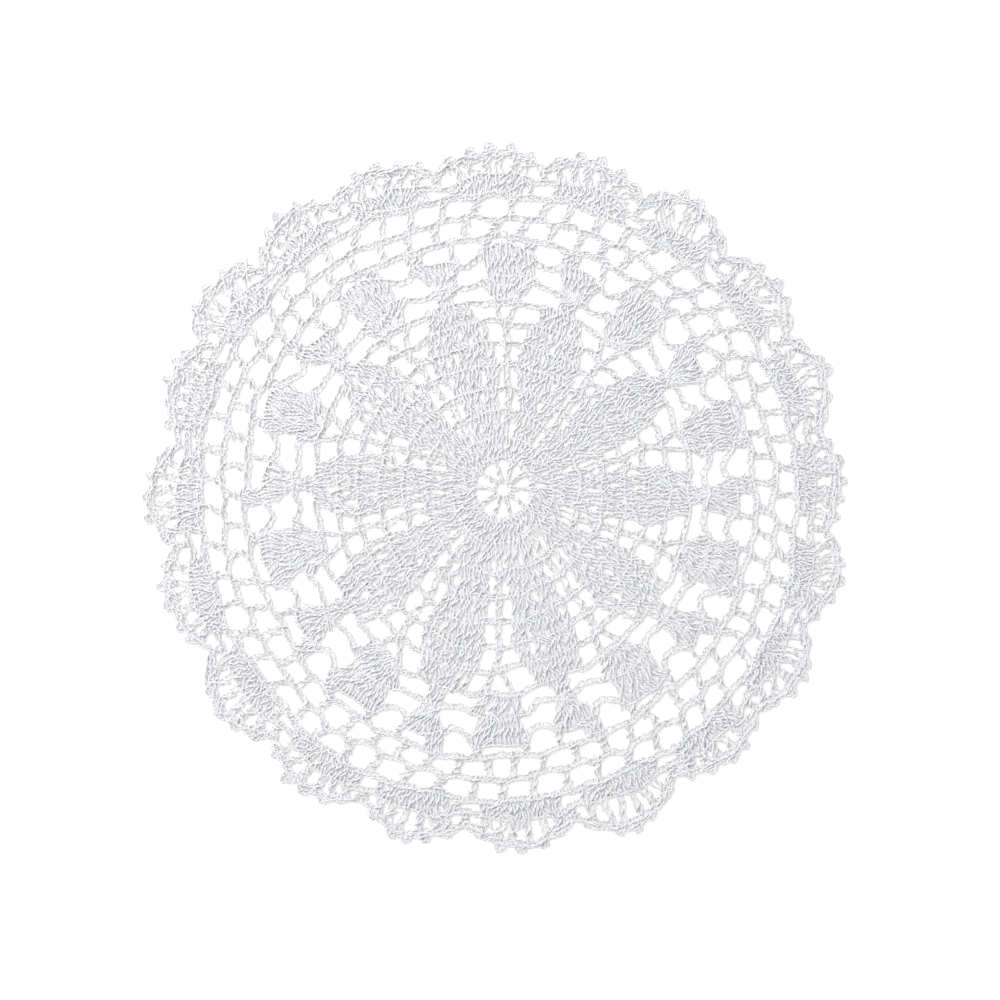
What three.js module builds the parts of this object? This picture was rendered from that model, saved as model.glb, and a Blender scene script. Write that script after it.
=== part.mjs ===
// A round crochet napkin, or doily, worked in one piece from one cotton thread and lying flat.
// Ten leaves of solid stitches grow from a middle ring, with a ladder of open stitches between each
// two. A fan stands over every ladder and every leaf tip, two rounds of open mesh follow, and twenty
// shells with picots make the scalloped edge. The solid is the cloth as one flat sheet, with its
// outline, its picots and its open gaps.
//
// Millimetres, +Z up. The napkin rests on Z = 0 with the middle of its outline at the origin.
// Places in the cloth are given as a turn, in degrees clockwise from +Y, and a reach, in mm from the
// middle ring.

import * as THREE from "three";

// ---- driving dimensions ----
const RADIUS = 101; // middle ring to picot tips, on average
const THICKNESS = 1.8; // about three threads deep
const LEAVES = 10;
const SCALLOPS = 2 * LEAVES;
const CELLS = 3 * SCALLOPS; // openings in each round of mesh
const RING_PLACE = { x: 2.46, y: 2.89 }; // the middle ring lies off the middle of the outline

// ---- how far the hand-worked cloth is from even ----
// Round the cloth in 20 steps: shift is the mesh's and the edge's drift in degrees, inner and outer
// are how far the cloth stretches outwards, in mm, at the foot of the fans and in the mesh, and tall
// is how much the scallop there stands out past that.
const UNEVEN = [
  { shift: 1.3, inner: -0.8, outer: -2.1, tall: -0.7 },
  { shift: 1.8, inner: -2.0, outer: -3.1, tall: 0.7 },
  { shift: 2.1, inner: -3.0, outer: -3.7, tall: 2.2 },
  { shift: 1.8, inner: -2.4, outer: -2.8, tall: 0.9 },
  { shift: 1.8, inner: -1.5, outer: -2.7, tall: 0.3 },
  { shift: 1.5, inner: -1.1, outer: -2.3, tall: -0.8 },
  { shift: 0.5, inner: -1.0, outer: -0.4, tall: -0.1 },
  { shift: -0.9, inner: -0.3, outer: 1.1, tall: -0.1 },
  { shift: -1.1, inner: 0.3, outer: 2.0, tall: -1.0 },
  { shift: -0.6, inner: 2.0, outer: 1.8, tall: 1.4 },
  { shift: 0.1, inner: 4.2, outer: 2.8, tall: 0.4 },
  { shift: 0.5, inner: 5.6, outer: 3.5, tall: -0.3 },
  { shift: 0.5, inner: 3.4, outer: 3.8, tall: -0.1 },
  { shift: 1.1, inner: 0.8, outer: 1.5, tall: 1.3 },
  { shift: 1.3, inner: -0.6, outer: 1.4, tall: 0.3 },
  { shift: 1.8, inner: -0.8, outer: 0.4, tall: 1.2 },
  { shift: 2.2, inner: -0.3, outer: 1.2, tall: -0.8 },
  { shift: 0.8, inner: 0.0, outer: -0.1, tall: 2.2 },
  { shift: -1.0, inner: 0.0, outer: 0.7, tall: -0.4 },
  { shift: -0.9, inner: -0.7, outer: -2.0, tall: 0.3 },
];
const SHIFT = UNEVEN.map((row) => row.shift);
const INNER = UNEVEN.map((row) => row.inner);
const OUTER = UNEVEN.map((row) => row.outer);
const LADDER_SHIFT = [1.5, 2.0, 2.7, 2.0, 2.3, 1.7, -1.0, 1.5, 2.0, 1.3]; // each ladder's own drift
const FAN_FOOT = 56; // the reach where inner is measured: up to it the cloth follows the ladders
const MESH_START = 78; // the reach where outer is measured: from it the cloth follows the mesh

// A value between the entries of a list that goes once round the cloth.
function around(list, turn) {
  const place = (((turn % 360) + 360) % 360) * (list.length / 360);
  const first = Math.floor(place) % list.length;
  const part = place - Math.floor(place);
  return THREE.MathUtils.lerp(list[first], list[(first + 1) % list.length], part);
}

// Where the hand-worked cloth has the point at this turn and reach.
function lay(turn, reach) {
  const out = THREE.MathUtils.clamp((reach - FAN_FOOT) / (MESH_START - FAN_FOOT), 0, 1);
  const shift = THREE.MathUtils.lerp(around(LADDER_SHIFT, turn), around(SHIFT, turn), out);
  const inner = around(INNER, turn) * Math.min(reach / FAN_FOOT, 1);
  const far = reach + THREE.MathUtils.lerp(inner, around(OUTER, turn), out);
  const angle = THREE.MathUtils.degToRad(turn + shift);
  return new THREE.Vector2(
    RING_PLACE.x + far * Math.sin(angle),
    RING_PLACE.y + far * Math.cos(angle),
  );
}

// ---- the outline ----
// Each scallop is an arch between two valleys, with picots whose tips stand on it.
const SCALLOP_START = -3; // the first scallop's middle, in degrees: half a cell before a ladder
const VALLEY_REACH = 92.5;
const ARCH_FOOT = 93.5; // the arch's reach beside a valley
const ARCH_TOP = RADIUS - 2.6;
const ARCH_SHARE = 0.875; // of a scallop's width: the valley takes the rest
const PICOTS = 5;
const PICOT_HEIGHT = 2.6;
const PICOT_FOOT = 0.34; // of the space between picots, each side of a picot
const PICOT_TIP = 0.16; // the same, at its blunt tip

function outline() {
  const pitch = 360 / SCALLOPS;
  const arch = pitch * ARCH_SHARE;
  const step = arch / PICOTS;
  const points = [];
  for (let scallop = 0; scallop < SCALLOPS; scallop++) {
    const middle = SCALLOP_START + scallop * pitch;
    const crown = ARCH_TOP + UNEVEN[scallop].tall;
    const edge = (off) => ARCH_FOOT + (crown - ARCH_FOOT) * Math.cos((Math.PI * off) / arch);
    points.push(lay(middle - pitch / 2, VALLEY_REACH));
    for (let picot = 0; picot < PICOTS; picot++) {
      const off = (picot - (PICOTS - 1) / 2) * step;
      const foot = PICOT_FOOT * step;
      const tip = PICOT_TIP * step;
      points.push(lay(middle + off - foot, edge(off - foot)));
      points.push(lay(middle + off - tip, edge(off) + PICOT_HEIGHT));
      points.push(lay(middle + off + tip, edge(off) + PICOT_HEIGHT));
      points.push(lay(middle + off + foot, edge(off + foot)));
    }
  }
  return points;
}

// ---- the gaps ----
// A gap's corners, as shares of half its width and half its length. The outline goes clockwise, and
// so its gaps go the other way.
const SIX_SIDED = [
  { wide: -0.66, out: -1 },
  { wide: 0.66, out: -1 },
  { wide: 1, out: 0 },
  { wide: 0.66, out: 1 },
  { wide: -0.66, out: 1 },
  { wide: -1, out: 0 },
];
const EIGHT_SIDED = [
  { wide: -0.5, out: -1 },
  { wide: 0.5, out: -1 },
  { wide: 1, out: -0.5 },
  { wide: 1, out: 0.5 },
  { wide: 0.5, out: 1 },
  { wide: -0.5, out: 1 },
  { wide: -1, out: 0.5 },
  { wide: -1, out: -0.5 },
];

function gap(turn, { reach, length, width, corners = SIX_SIDED }) {
  const half = THREE.MathUtils.radToDeg(width / 2 / reach);
  return corners.map(({ wide, out }) => lay(turn + wide * half, reach + (out * length) / 2));
}

// Pairs of gaps, one to each side of a ladder: off is how far from it, in degrees.
const LADDER_GAPS = [
  { off: 4.2, reach: 44.5, length: 4.4, width: 4.6 }, // beside the last bar of the ladder
  { off: 7.7, reach: 50.6, length: 4.2, width: 6.2 }, // beside the foot of the fan
  { off: 10.8, reach: 55.9, length: 3.6, width: 9.4 }, // under the chain to the leaf's tip
  { off: 10.8, reach: 61.0, length: 4.0, width: 6.4 }, // beside the leaf tip's stem
  { off: 9.0, reach: 68.5, length: 7.0, width: 6.9, corners: EIGHT_SIDED }, // the largest
];
// Rounds of mesh: start is where the first cell is, in cells from a ladder.
const MESH = [
  { start: 0, reach: 75.5, length: 4.4, width: 5.4 },
  { start: 0.5, reach: 81.8, length: 4.4, width: 5.8 },
];

function gaps() {
  const made = [];
  for (let ladder = 0; ladder < LEAVES; ladder++) {
    const turn = (ladder * 360) / LEAVES;
    for (const { off, ...size } of LADDER_GAPS) {
      made.push(gap(turn - off, size), gap(turn + off, size));
    }
  }
  for (const { start, ...size } of MESH) {
    for (let cell = 0; cell < CELLS; cell++) {
      made.push(gap(((cell + start) * 360) / CELLS, size));
    }
  }
  return made;
}

// ---- the cloth ----
function cloth() {
  const shape = new THREE.Shape(outline());
  shape.holes = gaps().map((points) => new THREE.Path(points));
  const geometry = new THREE.ExtrudeGeometry(shape, { depth: THICKNESS, bevelEnabled: false });
  const cotton = new THREE.MeshStandardMaterial({ color: 0xe3e5e7, roughness: 0.85, metalness: 0 });
  const mesh = new THREE.Mesh(geometry, cotton);
  mesh.name = "crochet_cloth";
  return mesh;
}

const napkin = new THREE.Group();
napkin.add(cloth());

export default napkin;
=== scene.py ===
import math
import random

import bpy
import numpy as np
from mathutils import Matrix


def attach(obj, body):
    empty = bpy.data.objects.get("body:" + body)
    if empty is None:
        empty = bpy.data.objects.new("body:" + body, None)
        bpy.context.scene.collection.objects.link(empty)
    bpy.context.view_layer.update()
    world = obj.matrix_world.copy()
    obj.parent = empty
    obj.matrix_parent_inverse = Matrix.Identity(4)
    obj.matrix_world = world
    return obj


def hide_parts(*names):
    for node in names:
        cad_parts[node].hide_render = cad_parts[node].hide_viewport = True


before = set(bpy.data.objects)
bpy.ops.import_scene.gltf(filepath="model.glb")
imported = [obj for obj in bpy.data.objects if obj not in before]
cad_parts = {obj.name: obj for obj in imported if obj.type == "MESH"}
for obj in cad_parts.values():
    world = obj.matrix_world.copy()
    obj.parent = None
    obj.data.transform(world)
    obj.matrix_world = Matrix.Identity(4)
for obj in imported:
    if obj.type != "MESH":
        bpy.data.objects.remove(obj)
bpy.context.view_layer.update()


# ---- the middle: the ring and the first five rounds ----
# The napkin is worked round and round from the middle, right side up, with one cotton thread and a
# fine steel hook. A ring of eight chains holds ten double crochets, the next round has forty, and
# on those start the ten leaves and the ladders between them.

THREAD = 0.00070  # size 10 crochet cotton
CLOTH_MIDDLE = 0.00098  # half the cloth's thickness above the surface
DEPTH = 0.8  # how much of a thread's thickness one strand stands off the next where they cross
LEAVES = 10
REPEAT = 360 / LEAVES  # degrees from ladder to ladder, and every leaf stands halfway
RING_PLACE = (0.00246, 0.00289)  # the middle ring lies off the middle of the outline
MM = 0.001

# Places are given as a turn, in degrees clockwise from +Y, and a reach, in mm from the middle ring.
# Round the cloth in 20 steps: shift is the mesh's and the edge's drift in degrees, inner and outer
# are how far the cloth stretches outwards, in mm, at the foot of the fans and in the mesh, and tall
# is how much the scallop there stands out past that.
UNEVEN = [
    {"shift": 1.3, "inner": -0.8, "outer": -2.1, "tall": -0.7},
    {"shift": 1.8, "inner": -2.0, "outer": -3.1, "tall": 0.7},
    {"shift": 2.1, "inner": -3.0, "outer": -3.7, "tall": 2.2},
    {"shift": 1.8, "inner": -2.4, "outer": -2.8, "tall": 0.9},
    {"shift": 1.8, "inner": -1.5, "outer": -2.7, "tall": 0.3},
    {"shift": 1.5, "inner": -1.1, "outer": -2.3, "tall": -0.8},
    {"shift": 0.5, "inner": -1.0, "outer": -0.4, "tall": -0.1},
    {"shift": -0.9, "inner": -0.3, "outer": 1.1, "tall": -0.1},
    {"shift": -1.1, "inner": 0.3, "outer": 2.0, "tall": -1.0},
    {"shift": -0.6, "inner": 2.0, "outer": 1.8, "tall": 1.4},
    {"shift": 0.1, "inner": 4.2, "outer": 2.8, "tall": 0.4},
    {"shift": 0.5, "inner": 5.6, "outer": 3.5, "tall": -0.3},
    {"shift": 0.5, "inner": 3.4, "outer": 3.8, "tall": -0.1},
    {"shift": 1.1, "inner": 0.8, "outer": 1.5, "tall": 1.3},
    {"shift": 1.3, "inner": -0.6, "outer": 1.4, "tall": 0.3},
    {"shift": 1.8, "inner": -0.8, "outer": 0.4, "tall": 1.2},
    {"shift": 2.2, "inner": -0.3, "outer": 1.2, "tall": -0.8},
    {"shift": 0.8, "inner": 0.0, "outer": -0.1, "tall": 2.2},
    {"shift": -1.0, "inner": 0.0, "outer": 0.7, "tall": -0.4},
    {"shift": -0.9, "inner": -0.7, "outer": -2.0, "tall": 0.3},
]
LADDER_SHIFT = [1.5, 2.0, 2.7, 2.0, 2.3, 1.7, -1.0, 1.5, 2.0, 1.3]  # each ladder's own drift
FAN_FOOT = 56  # the reach where inner is measured: up to it the cloth follows the ladders
MESH_START = 78  # the reach where outer is measured: from it the cloth follows the mesh
# A ladder's bars stand a little clockwise of each other: reach against degrees.
LEAN_REACH = [8, 18.9, 25.4, 32.0, 38.8, 44.5, 51.8, 56]
LEAN_SHIFT = [0, 2.8, 1.5, 0.6, 0, 0, -0.8, 0]
# The rounds sway a little from their places as well, in waves: by is how far, in mm, around is how
# many there are round the cloth, and out is how far each moves on, in radians, a mm further out.
SWAY = [
    {"by": 0.36, "around": 11, "out": 0.21},
    {"by": 0.34, "around": 19, "out": -0.33},
    {"by": 0.28, "around": 31, "out": 0.47},
    {"by": 0.22, "around": 53, "out": -0.62},
]
FULL_SWAY = 30  # the reach from which the cloth sways in full


def sway(turn, reach, start):
    """How far the cloth is off its place there, in mm."""
    waves = [
        wave["by"] * math.sin(math.radians(wave["around"] * turn) + wave["out"] * reach + start)
        for wave in SWAY
    ]
    return sum(waves) * min(reach / FULL_SWAY, 1)


def around(values, turn):
    """A value between the entries of a list that goes once round the cloth."""
    place = turn % 360 * len(values) / 360
    first = int(place) % len(values)
    part = place - int(place)
    return values[first] * (1 - part) + values[(first + 1) % len(values)] * part


def lay(turn, reach):
    """Where the hand-worked cloth has the point at this turn and reach, halfway through the cloth."""
    outer = min(max((reach - FAN_FOOT) / (MESH_START - FAN_FOOT), 0), 1)
    inner_shift = around(LADDER_SHIFT, turn) + np.interp(reach, LEAN_REACH, LEAN_SHIFT)
    outer_shift = around([row["shift"] for row in UNEVEN], turn)
    inner = around([row["inner"] for row in UNEVEN], turn) * min(reach / FAN_FOOT, 1)
    stretch = inner * (1 - outer) + around([row["outer"] for row in UNEVEN], turn) * outer
    angle = math.radians(turn + inner_shift * (1 - outer) + outer_shift * outer)
    angle += sway(turn, reach, 2) / max(reach, 1)
    far = (reach + stretch + sway(turn, reach, 0)) * MM
    return np.array(
        [
            RING_PLACE[0] + far * math.sin(angle),
            RING_PLACE[1] + far * math.cos(angle),
            CLOTH_MIDDLE,
        ]
    )


hand = random.Random(7)  # no two stitches of hand work are quite alike
SLACK = 0.00016  # how far the hand lets a stitch wander


def slack():
    """A small level step off a stitch's place."""
    return np.array([hand.gauss(0, SLACK), hand.gauss(0, SLACK), 0])


def across(ahead):
    """The level direction to the right of the way ahead."""
    return np.array([ahead[1], -ahead[0], 0]) / math.hypot(ahead[0], ahead[1])


# One chain stitch as the thread runs: along is a share of the stitch's length, side a share of its
# width, and depth is in threads. The loop goes out and back, and its tail dips under the next one.
CHAIN_WIDTH = 0.00190
LOOP_TILT = 12  # degrees that a free chain is rolled over
HEAD_TILT = 40  # the heads of double crochets show more of their edges
HEAD_WIDTH = 0.60  # of a free chain's width
HEAD_SUNK = 0.00040  # and they lie below the stitches worked into them
TILT_SLACK = 16  # how far the hand rolls a chain stitch over, in degrees
LOOP_SIZES = (0.85, 1.2)  # from the narrowest loop to the widest, against an even one
LOOP_SKEW = 0.15  # of its width that a loop may lie off to one side
LOWEST = THREAD * 0.52  # a strand there just clears the surface
CHAIN_LOOP = [
    {"along": 0.30, "side": -0.36, "depth": 0.5},
    {"along": 0.85, "side": -0.44, "depth": 0.3},
    {"along": 1.27, "side": 0.00, "depth": -0.1},
    {"along": 0.85, "side": 0.44, "depth": 0.3},
    {"along": 0.30, "side": 0.36, "depth": 0.5},
    {"along": 0.05, "side": 0.03, "depth": -0.8},
]


def chain(stops, width=CHAIN_WIDTH):
    """The strand of a chain with one stitch from each stop, (turn, reach) or (turn, reach, tilt)."""
    spots = np.array([lay(*stop[:2]) + slack() for stop in stops])
    steps = np.arange(len(spots))

    def at(place):
        return np.array([np.interp(place, steps, spots[:, axis]) for axis in range(3)])

    strand = []
    for stitch in range(len(spots) - 1):
        wide = width * hand.uniform(*LOOP_SIZES)
        skew = hand.uniform(-LOOP_SKEW, LOOP_SKEW)
        is_head = len(stops[stitch]) > 2
        if is_head:
            wide *= HEAD_WIDTH
        tilt = stops[stitch][2] if is_head else LOOP_TILT
        tilt = math.radians(tilt + hand.gauss(0, TILT_SLACK))
        for point in CHAIN_LOOP:
            place = stitch + point["along"]
            flat, high = wide * (point["side"] + skew), point["depth"] * THREAD * DEPTH
            spot = at(place)
            spot += across(at(place + 0.5) - at(place - 0.5)) * (
                flat * math.cos(tilt) + high * math.sin(tilt)
            )
            spot[2] += high * math.cos(tilt) - flat * math.sin(tilt)
            if is_head:
                spot[2] -= HEAD_SUNK
            spot[2] = max(spot[2], LOWEST)
            strand.append(spot)
    return strand


# A double crochet: three short pairs of strands, one above the other, that come up out of the stitch
# and go back into it, and one that slants over them at the middle. Shares are of the stitch's
# height, and spread, side and depth are in threads.
PAIRS = [
    [
        {"share": -0.13, "spread": 0.95, "depth": -0.4},
        {"share": 0.12, "spread": 0.80, "depth": 0.9},
        {"share": 0.38, "spread": 0.65, "depth": -0.6},
    ],
    [
        {"share": 0.24, "spread": 0.70, "depth": -0.6},
        {"share": 0.50, "spread": 0.75, "depth": 0.7},
        {"share": 0.76, "spread": 0.70, "depth": -0.6},
    ],
    [
        {"share": 0.62, "spread": 0.65, "depth": -0.6},
        {"share": 0.88, "spread": 0.85, "depth": 0.9},
        {"share": 1.12, "spread": 0.95, "depth": -0.4},
    ],
]
WRAP = [
    {"share": 0.34, "side": -1.15, "depth": -0.6},
    {"share": 0.41, "side": -0.95, "depth": 0.6},
    {"share": 0.54, "side": 0.00, "depth": 1.10},
    {"share": 0.67, "side": 0.95, "depth": 0.6},
    {"share": 0.74, "side": 1.15, "depth": -0.6},
]
LEG_SLACK = 0.00018  # how far each pair of strands wanders in a stitch
LEG_SLANT = 0.0022  # and how far it would lean over the stitch's whole height
LEG_BEND = 1.6 * LEG_SLACK  # how far each strand bends at its middle
LEG_ROLL = 0.1  # radians that a pair is rolled over
ROLL_SLACK = 0.35  # and how far that wanders
WRAP_SLACK = 0.11  # of the stitch's height that the slanting strand slides up or down
POST_SIZES = (0.85, 1.12)  # from the leanest stitch to the fullest, against an even one


def post(foot, head, size=1.0, calm=1.0):
    """The strands of a double crochet between two places, wandering less where calm is under 1."""
    low = lay(*foot) + slack()
    high = lay(*head) + slack()
    side = across(high - low)
    full = THREAD * size * hand.uniform(*POST_SIZES)
    strands = []
    for pair in PAIRS:
        roll = hand.gauss(LEG_ROLL, ROLL_SLACK)
        drift = hand.gauss(0, LEG_SLACK) * calm
        slant = hand.gauss(0, LEG_SLANT) * calm
        for half in (-1, 1):
            leg = []
            bend = hand.gauss(0, LEG_BEND)
            for point in pair:
                off = full * point["spread"] * half
                spot = low + (high - low) * point["share"]
                lean = slant * (point["share"] - pair[1]["share"])
                spot += side * (off * math.cos(roll) + drift + lean)
                if point is pair[1]:
                    spot += side * bend
                spot[2] += DEPTH * (off * math.sin(roll) + THREAD * point["depth"])
                spot[2] = max(spot[2], LOWEST)
                leg.append(spot)
            strands.append(leg)
    wrap = []
    slide = hand.gauss(0, WRAP_SLACK)
    for point in WRAP:
        spot = low + (high - low) * (point["share"] + slide)
        spot += side * full * point["side"]
        spot[2] = max(spot[2] + THREAD * DEPTH * point["depth"], LOWEST)
        wrap.append(spot)
    strands.append(wrap)
    return strands


def add_node(tree, kind, inputs=None, **settings):
    """Adds a node with its own settings, and a value or a link for each of its inputs named."""
    node = tree.nodes.new(kind)
    for name, value in settings.items():
        setattr(node, name, value)
    for name, value in (inputs or {}).items():
        if isinstance(value, bpy.types.NodeSocket):
            tree.links.new(value, node.inputs[name])
        else:
            node.inputs[name].default_value = value
    return node


def linear(colour):
    """An sRGB hex colour as the linear colour that a material takes."""
    parts = [int(colour[i : i + 2], 16) / 255 for i in (1, 3, 5)]
    return [p / 12.92 if p <= 0.04045 else ((p + 0.055) / 1.055) ** 2.4 for p in parts] + [1]


# Mercerised cotton, spun and plied: a white thread with a soft sheen, whose plies wind round it as
# fine slanting ridges.
# The colour is a little uneven, and cool rather than cream, and the grooves between the plies are
# painted shade: a darker grey.
PLIES = 3
PLY_TURN = 0.0036  # the length in which a ply goes once round the thread
PLY_GROOVE = 0.00009  # how deep the grooves between the plies are
PATCHES = 220.0  # to the metre: the white changes a little over every 4.5 mm

cotton = bpy.data.materials.new("mercerised_cotton_thread")
cotton.use_nodes = True
cotton.node_tree.nodes.clear()
tree = cotton.node_tree
along = add_node(tree, "ShaderNodeAttribute", attribute_name="along")
round_it = add_node(tree, "ShaderNodeAttribute", attribute_name="round_it")
sides = add_node(tree, "ShaderNodeSeparateXYZ", {"Vector": round_it.outputs["Vector"]})
angle = add_node(
    tree, "ShaderNodeMath", {0: sides.outputs["Y"], 1: sides.outputs["X"]}, operation="ARCTAN2"
)
turns = add_node(
    tree,
    "ShaderNodeMath",
    {0: along.outputs["Fac"], 1: 2 * math.pi / PLY_TURN, 2: angle.outputs["Value"]},
    operation="MULTIPLY_ADD",
)
phase = add_node(tree, "ShaderNodeMath", {0: turns.outputs["Value"], 1: PLIES}, operation="MULTIPLY")
ridges = add_node(tree, "ShaderNodeMath", {0: phase.outputs["Value"]}, operation="COSINE")
plies = add_node(
    tree,
    "ShaderNodeBump",
    {"Height": ridges.outputs["Value"], "Strength": 0.9, "Distance": PLY_GROOVE},
)
place = add_node(tree, "ShaderNodeTexCoord")
patches = add_node(
    tree,
    "ShaderNodeTexNoise",
    {"Vector": place.outputs["Object"], "Scale": PATCHES, "Detail": 2.0},
)
white = add_node(
    tree,
    "ShaderNodeMix",
    {
        "Factor": patches.outputs["Fac"],
        "A": linear("#f1f2f4"),
        "B": linear("#f9f9fa"),
    },
    data_type="RGBA",
)
# painted shade: the grooves between the plies are coloured a darker grey, standing in for the shade
# that falls in them
painted_groove_shade = add_node(
    tree,
    "ShaderNodeMapRange",
    {
        "Value": ridges.outputs["Value"],
        "From Min": -1.0,
        "From Max": 0.1,
        "To Min": 0.75,
        "To Max": 0.0,
    },
)
colour = add_node(
    tree,
    "ShaderNodeMix",
    {
        "Factor": painted_groove_shade.outputs["Result"],
        "A": white.outputs["Result"],
        "B": linear("#c6c8cc"),
    },
    data_type="RGBA",
)
shader = add_node(
    tree,
    "ShaderNodeBsdfPrincipled",
    {
        "Base Color": colour.outputs["Result"],
        "Roughness": 0.62,
        "Sheen Weight": 0.25,
        "Sheen Roughness": 0.4,
        "Normal": plies.outputs["Normal"],
    },
)
add_node(tree, "ShaderNodeOutputMaterial", {"Surface": shader.outputs["BSDF"]})

# The nodes that put the thread's round section along every strand.
THREAD_SIDES = 5
wind = bpy.data.node_groups.new("thread_on_strands", "GeometryNodeTree")
wind.interface.new_socket("Strands", in_out="INPUT", socket_type="NodeSocketGeometry")
wind.interface.new_socket("Thread", in_out="OUTPUT", socket_type="NodeSocketGeometry")
given = add_node(wind, "NodeGroupInput")
smooth = add_node(
    wind, "GeometryNodeResampleCurve", {"Curve": given.outputs["Strands"]}, mode="EVALUATED"
)
distance = add_node(wind, "GeometryNodeSplineParameter")
strand = add_node(
    wind,
    "GeometryNodeStoreNamedAttribute",
    {"Geometry": smooth.outputs["Curve"], "Name": "along", "Value": distance.outputs["Length"]},
    data_type="FLOAT",
    domain="POINT",
)
circle = add_node(
    wind, "GeometryNodeCurvePrimitiveCircle", {"Resolution": THREAD_SIDES, "Radius": THREAD / 2}
)
spot = add_node(wind, "GeometryNodeInputPosition")
section = add_node(
    wind,
    "GeometryNodeStoreNamedAttribute",
    {"Geometry": circle.outputs["Curve"], "Name": "round_it", "Value": spot.outputs["Position"]},
    data_type="FLOAT_VECTOR",
    domain="POINT",
)
tube = add_node(
    wind,
    "GeometryNodeCurveToMesh",
    {
        "Curve": strand.outputs["Geometry"],
        "Profile Curve": section.outputs["Geometry"],
        "Fill Caps": True,
    },
)
rounded = add_node(wind, "GeometryNodeSetShadeSmooth", {"Geometry": tube.outputs["Mesh"]})
add_node(wind, "NodeGroupOutput", {"Thread": rounded.outputs["Geometry"]})


def thread(name, strands):
    """The piece that has the thread along all these strands."""
    curve = bpy.data.curves.new(name + "_strands", "CURVE")
    curve.dimensions = "3D"
    for strand in strands:
        spline = curve.splines.new("NURBS")
        spline.points.add(len(strand) - 1)
        spline.points.foreach_set("co", [v for spot in strand for v in (*spot, 1)])
        spline.order_u = 3
        spline.resolution_u = 3 if len(strand) == 3 else 2  # a short strand bends more sharply
        spline.use_endpoint_u = True
    strung = bpy.data.objects.new(name + "_strands", curve)
    bpy.context.scene.collection.objects.link(strung)
    strung.modifiers.new("thread", "NODES").node_group = wind
    seen = bpy.context.evaluated_depsgraph_get()
    mesh = bpy.data.meshes.new_from_object(strung.evaluated_get(seen))
    mesh.name = name
    bpy.data.objects.remove(strung)
    piece = bpy.data.objects.new(name, mesh)
    bpy.context.scene.collection.objects.link(piece)
    mesh.materials.clear()
    mesh.materials.append(cotton)
    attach(piece, "root")
    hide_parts("crochet_cloth")
    return piece


strands = []

RING_REACH = 2.6
RING_STITCHES = 8
RING_TILT = 70  # the ring stands nearly on edge
RING_WIDTH = 0.0008
strands.append(
    chain(
        [(s * 360 / RING_STITCHES, RING_REACH, RING_TILT) for s in range(RING_STITCHES + 1)],
        RING_WIDTH,
    )
)

HEAD_DROP = 0.4  # mm from the middle of a chain down to the heads of the stitches under it
FIRST_FOOT = 2.4
FIRST_TOP = 8.5
FIRST_STITCHES = 30
FIRST_START = 6  # degrees from the first ladder
FIRST_TILT = 30
for leaf in range(LEAVES):
    middle = (leaf + 0.5) * REPEAT
    strands += post((middle, FIRST_FOOT), (middle, FIRST_TOP - HEAD_DROP), 0.8, 0.3)
strands.append(
    chain(
        [
            (FIRST_START + stop * 360 / FIRST_STITCHES, FIRST_TOP, FIRST_TILT)
            for stop in range(FIRST_STITCHES + 1)
        ]
    )
)

SECOND_TOP = 14.5
SECOND_STITCHES = 40
for stitch in range(SECOND_STITCHES):
    turn = (stitch + 0.5) * 360 / SECOND_STITCHES
    strands += post((turn, FIRST_TOP), (turn, SECOND_TOP - HEAD_DROP), 0.9)
strands.append(
    chain([(s * 360 / SECOND_STITCHES, SECOND_TOP, HEAD_TILT) for s in range(SECOND_STITCHES + 1)])
)


BAR_SPREAD = 3.7  # degrees from a ladder's middle to each of two bars
BAR_FOOT = 0.25  # of that spread, at the bars' feet
BAR_SIZE = 1.35  # a ladder's single bar is thicker than the stitches of the leaves


def leaf_round(below, top, stitches, foot, head, chains, bars=1):
    """A round of the leaves and ladders: reaches in mm, foot and head half a leaf's width in mm."""
    made = []
    stops = []
    for leaf in range(LEAVES):
        ladder = leaf * REPEAT
        middle = ladder + REPEAT / 2
        wide_foot = math.degrees(foot / below)
        wide_head = math.degrees(head / top)
        heads = np.linspace(middle - wide_head, middle + wide_head, stitches)
        feet = np.linspace(middle - wide_foot, middle + wide_foot, stitches)
        for start, end in zip(feet, heads):
            made += post((start, below), (end, top - HEAD_DROP))
        half_bar = BAR_SPREAD * (bars - 1)
        bar_heads = np.linspace(ladder - half_bar, ladder + half_bar, bars)
        for end in bar_heads:
            foot_turn = ladder + (end - ladder) * BAR_FOOT
            made += post((foot_turn, below), (end, top - HEAD_DROP), BAR_SIZE / bars**0.5, 0.5)
        if bars == 1:
            stops.append((ladder, top))
        else:
            stops += [(turn, top) for turn in np.linspace(-half_bar, half_bar, 5) + ladder]
        stops += [(t, top) for t in np.linspace(bar_heads[-1], heads[0], chains + 2)[1:-1]]
        stops += [(turn, top, HEAD_TILT) for turn in heads]
        next_bar = ladder + REPEAT - half_bar
        stops += [(t, top) for t in np.linspace(heads[-1], next_bar, chains + 2)[1:-1]]
    stops.append((stops[0][0] + 360, top))
    made.append(chain(stops))
    return made


strands += leaf_round(below=14.5, top=22.1, stitches=4, foot=2.5, head=3.7, chains=1)
strands += leaf_round(below=22.1, top=28.6, stitches=5, foot=3.7, head=5.3, chains=1)
strands += leaf_round(below=28.6, top=35.35, stitches=7, foot=5.3, head=7.2, chains=1)
middle_piece = thread("middle", strands)


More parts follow.
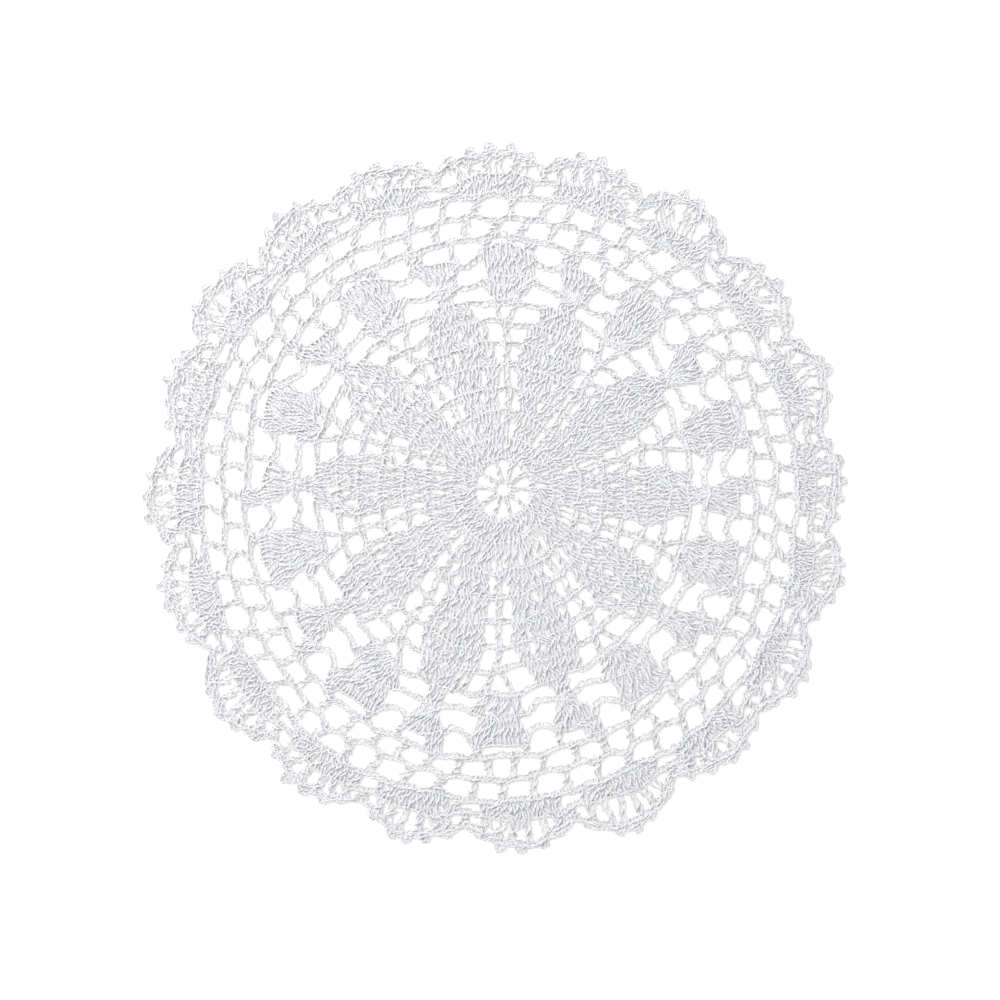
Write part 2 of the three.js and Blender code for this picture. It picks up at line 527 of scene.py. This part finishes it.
# ---- the leaves ----
# Four more rounds, in which each leaf is at its widest and narrows to a tip of three stitches. The
# ladder's last bar parts into two, and the fan stands on them.
strands = leaf_round(below=35.35, top=41.7, stitches=8, foot=7.1, head=8.5, chains=1)
strands += leaf_round(below=41.7, top=47.6, stitches=8, foot=8.2, head=7.7, chains=3)
strands += leaf_round(below=47.6, top=53.7, stitches=7, foot=6.9, head=5.4, chains=3, bars=2)
TIP_TOP = 59.0
for leaf in range(LEAVES):
    middle = (leaf + 0.5) * REPEAT
    for off in (-1, 0, 1):
        strands += post((middle + 2.0 * off, 53.7), (middle + 1.1 * off, TIP_TOP - HEAD_DROP))
leaves_piece = thread("leaves", strands)


# ---- the fans ----
# Over each ladder two shells of double crochet, one on the other, and over each leaf's tip one
# small shell. Chain loops join them all the way round.


def path(points, stitches):
    """Evenly spaced stops along a line of (turn, reach) points, for this many stitches."""
    points = np.array(points, float)
    reach = points[:, 1].mean()
    steps = np.hypot(np.radians(np.diff(points[:, 0])) * reach, np.diff(points[:, 1]))
    gone = np.concatenate([[0], np.cumsum(steps)])
    places = np.linspace(0, gone[-1], stitches + 1)
    return [
        (np.interp(p, gone, points[:, 0]), np.interp(p, gone, points[:, 1])) for p in places
    ]


def rim(off, top, fall, half):
    """The reach of a shell's rounded rim, which falls so far by half its width from its middle."""
    return top - fall * (off / half) ** 2


FAN_START = 54.2
FIRST_RIM = {"top": 61.2, "fall": 0.9, "half": 7}
SECOND_FOOT = {"top": 61.2, "fall": 0.9, "half": 6}
SECOND_RIM = {"top": 69.8, "fall": 1.1, "half": 6}
TIP_RIM = {"top": 67.8, "fall": 0.8, "half": 4.5}
strands = []
for leaf in range(LEAVES):
    ladder = leaf * REPEAT
    tip = ladder + REPEAT / 2
    # the first shell, in the space between the ladder's last two bars: about half of them have a
    # slit on each side, between the outer two stitches and the middle five
    open_sides = hand.random() < 0.5
    heads = (-7, -5.9, -2.7, -1.3, 0, 1.3, 2.7, 5.9, 7)
    if not open_sides:
        heads = np.linspace(-7, 7, 9)
    for off in heads:
        head = (ladder + off, rim(off, **FIRST_RIM) - HEAD_DROP)
        strands += post((ladder + off * 0.45, FAN_START), head, 0.9)
    over = [(ladder + off, rim(off, **FIRST_RIM), HEAD_TILT) for off in heads]
    down = [(7, 60.3), (8.6, 58.9), (10.8, 58.3), (15, 58.5), (16.9, 59.0)]
    up = [(REPEAT - turn, reach) for turn, reach in reversed(down)]
    stops = over[:-1]
    stops += [(ladder + turn, reach) for turn, reach in path(down, 5)[:-1]]
    stops += [(tip - 1.1, TIP_TOP), (tip, TIP_TOP + 0.2), (tip + 1.1, TIP_TOP)]
    stops += [(ladder + turn, reach) for turn, reach in path(up, 5)[1:]]
    strands.append(chain(stops))
    # the second shell
    heads = np.linspace(-5.9, 5.9, 10)
    for off in heads:
        foot = (ladder + off * 0.8, rim(off, **SECOND_FOOT))
        strands += post(foot, (ladder + off, rim(off, **SECOND_RIM) - HEAD_DROP))
    over = [(ladder + off, rim(off, **SECOND_RIM), HEAD_TILT) for off in heads]
    # the leaf tip's shell
    tip_heads = np.linspace(-4.6, 5.0, 7)
    for off in tip_heads:
        foot = (tip + off * 0.3 + 0.5, TIP_TOP)
        strands += post(foot, (tip + off, rim(off, **TIP_RIM) - HEAD_DROP))
    down = [(5.7, 68.7), (7.6, 65.4), (10.8, 64.2), (12.8, 65.6), (13.4, 66.7)]
    up = [(REPEAT - turn, reach) for turn, reach in reversed(down)]
    stops = over[:-1]
    stops += [(ladder + turn, reach) for turn, reach in path(down, 5)[:-1]]
    stops += [(tip + off, rim(off, **TIP_RIM), HEAD_TILT) for off in tip_heads[:-1]]
    stops += [(ladder + turn, reach) for turn, reach in path(up, 5)]
    strands.append(chain(stops))
fans_piece = thread("fans", strands)


# ---- the closing round ----
# A round of plain chain that levels the row of fans. It is joined to the big shells by bars at their
# corners, and to each leaf tip's shell by a few bars on one side, which leave a low arch beside them.
CLOSING_TOP = 72.5
CLOSING_STITCHES = 200
strands = []
for leaf in range(LEAVES):
    ladder = leaf * REPEAT
    tip = ladder + REPEAT / 2
    for off, foot in ((-5.2, 68.9), (4.6, 69.1), (5.6, 68.9)):
        strands += post((ladder + off, foot), (ladder + off, CLOSING_TOP - HEAD_DROP))
    for off, foot in ((-4.6, 66.9), (-3.2, 67.3), (-1.8, 67.6), (5.0, 66.8)):
        strands += post((tip + off, foot), (tip + off, CLOSING_TOP - HEAD_DROP))
strands.append(
    chain([(stop * 360 / CLOSING_STITCHES, CLOSING_TOP) for stop in range(CLOSING_STITCHES + 1)])
)
closing_piece = thread("closing_round", strands)


# ---- the mesh ----
# Two rounds of open mesh: single double crochets with three chains between, each round's standing
# over the middle of the last one's loops.
CELLS = 60
CELL = 360 / CELLS
CELL_STITCHES = 4
FIRST_MESH = 78.6
SECOND_MESH = 84.8
WAVE = 0.5  # mm that the first round's chain rises and dips between its bars
LEAN = 0.5  # degrees that a bar's head leads its foot
BAR_SLACK = 0.25  # degrees that a bar wanders
MESH_BAR = 1.4  # a lone bar is thicker than a stitch in a row
strands = []
for cell in range(CELLS):
    turn = (cell + 0.5) * CELL + hand.gauss(0, BAR_SLACK)
    strands += post((turn - LEAN, CLOSING_TOP), (turn + LEAN, FIRST_MESH - 0.8), MESH_BAR)
    turn = cell * CELL + hand.gauss(0, BAR_SLACK)
    strands += post((turn - LEAN, FIRST_MESH), (turn + LEAN, SECOND_MESH - 0.5), MESH_BAR)
stops = []
for stop in range(CELLS * CELL_STITCHES + 1):
    turn = (stop / CELL_STITCHES + 0.5) * CELL
    stops.append((turn, FIRST_MESH + WAVE * math.cos(2 * math.pi * turn / CELL)))
strands.append(chain(stops))
strands.append(
    chain([(s / CELL_STITCHES * CELL, SECOND_MESH) for s in range(CELLS * CELL_STITCHES + 1)])
)
mesh_piece = thread("mesh", strands)


# ---- the shells ----
# Twenty shells of double crochet along the mesh, with a loop of chain from each to the next.
SCALLOPS = 20
SCALLOP = 360 / SCALLOPS
SCALLOP_START = -3  # the first scallop's middle, half a cell before a ladder
SHELL_RIM = {"top": 90.8, "fall": 0.7, "half": 5.6}
strands = []
for scallop in range(SCALLOPS):
    middle = SCALLOP_START + scallop * SCALLOP
    heads = np.linspace(-5.6, 5.6, 10)
    for off in heads:
        head = (middle + off, rim(off, **SHELL_RIM) - HEAD_DROP)
        strands += post((middle + off * 0.78, SECOND_MESH), head)
    for side in (-1, 1):
        strands += post((middle + side * 7.1, SECOND_MESH), (middle + side * 6.1, 88.9))
    stops = [(middle + off, rim(off, **SHELL_RIM), HEAD_TILT) for off in heads[:-1]]
    valley = [(5.6, 90.1), (6.4, 89.1), (7.5, 88.8), (9, 88.7)]
    valley += [(SCALLOP - turn, reach) for turn, reach in reversed(valley[:-1])]
    stops += [(middle + turn, reach) for turn, reach in path(valley, 5)]
    strands.append(chain(stops))
shells_piece = thread("shells", strands)


# ---- the edge ----
# On each shell six double crochets with chains between them, then a last row of picots: small
# loops of three chains that stand up along the scallop.
BARS_CROWN = 96.7  # the reach of the chain over the six, before the scallop's own height
ROW_FOOT = 93.5  # the last row's reach beside a valley, and at its crown
ROW_CROWN = 98.4
ROW_WIDE = 0.875 * SCALLOP
PICOT_WIDTH = 0.0014


def edge(off, tall):
    """The reach of the last row, off degrees from the middle of a scallop this much taller."""
    return ROW_FOOT + (ROW_CROWN + tall - ROW_FOOT) * math.cos(math.pi * off / ROW_WIDE)


strands = []
for scallop in range(SCALLOPS):
    middle = SCALLOP_START + scallop * SCALLOP
    tall = UNEVEN[scallop]["tall"]
    feet = (-5.2, -3.1, -1, 1, 3.1, 5.2)
    heads = (-6.9, -4.15, -1.4, 1.4, 4.15, 6.9)
    crown = BARS_CROWN + tall
    for foot, head in zip(feet, heads):
        head += hand.uniform(-0.5, 0.5)
        rise = 1.6 * (head / 6.9) ** 2
        strands += post(
            (middle + foot, rim(foot, **SHELL_RIM)), (middle + head, crown - HEAD_DROP - rise), 1.5
        )
    arch = [(-9, 91.8), (-6.9, crown - 1.6), (-4.15, crown - 0.6), (-1.4, crown)]
    arch += [(-turn, reach) for turn, reach in reversed(arch)]
    strands.append(chain([(middle + turn, reach) for turn, reach in path(arch, 16)]))
    strands += post((middle + 9, 88.9), (middle + 9, 91.6))
    # the last row and its picots
    row = [(-9, 92.6)]
    row += [(off, edge(off, tall) - 0.7) for off in np.linspace(-7.6, 7.6, 9)]
    row += [(9, 92.6)]
    strands.append(chain([(middle + turn, reach) for turn, reach in path(row, 15)]))
    for picot in (-6.3, -3.15, 0, 3.15, 6.3):
        picot += hand.uniform(-0.35, 0.35)
        foot = edge(picot, tall) + hand.uniform(-0.3, 0.3)
        loop = [
            (picot - 0.7, foot - 0.6),
            (picot - 0.6, foot + 1.2),
            (picot, foot + 1.9),
            (picot + 0.6, foot + 1.2),
            (picot + 0.7, foot - 0.6),
        ]
        strands.append(chain([(middle + t, r) for t, r in path(loop, 3)], PICOT_WIDTH))
edge_piece = thread("edge", strands)

# ---- the surface, the light and the camera ----
# The cloth lies on matt white card with a painted glow: a little emission, though it is no lamp, so
# that it comes out white even where the threads shade it.
# The room is white and even, with one large soft lamp to the upper left.
bpy.ops.mesh.primitive_plane_add(size=3, location=(0, 0, 0))
floor = bpy.context.object
floor.name = "floor"
paper = bpy.data.materials.new("white_paper_painted_glow")
paper.use_nodes = True
sheet = paper.node_tree.nodes["Principled BSDF"].inputs
sheet["Base Color"].default_value = linear("#fafafa")
sheet["Roughness"].default_value = 0.9
# painted light: the card's emission is a glow that stands in for a brighter lit backdrop
sheet["Emission Color"].default_value = linear("#ffffff")
sheet["Emission Strength"].default_value = 0.2
floor.data.materials.append(paper)

sky = bpy.data.worlds.new("soft_room")
sky.use_nodes = True
sky.node_tree.nodes["Background"].inputs["Color"].default_value = linear("#ffffff")
sky.node_tree.nodes["Background"].inputs["Strength"].default_value = 0.73
bpy.context.scene.world = sky

lamp = bpy.data.lights.new("softbox", "AREA")
lamp.shape = "DISK"
lamp.size = 0.9
lamp.energy = 9.4
softbox = bpy.data.objects.new("softbox", lamp)
softbox.location = (-0.45, 0.5, 0.8)
aim = -softbox.location
softbox.rotation_euler = aim.to_track_quat("-Z", "Y").to_euler()
bpy.context.scene.collection.objects.link(softbox)

lens = bpy.data.cameras.new("camera")
lens.lens = 85
camera = bpy.data.objects.new("camera", lens)
FRAME_WIDTH = 0.2817  # how much of the surface the camera sees
CAMERA_PLACE = (0.00169, -0.00042)
camera.location = (*CAMERA_PLACE, FRAME_WIDTH * lens.lens / lens.sensor_width)
bpy.context.scene.collection.objects.link(camera)
bpy.context.scene.camera = camera
bpy.context.scene.view_settings.view_transform = "Standard"
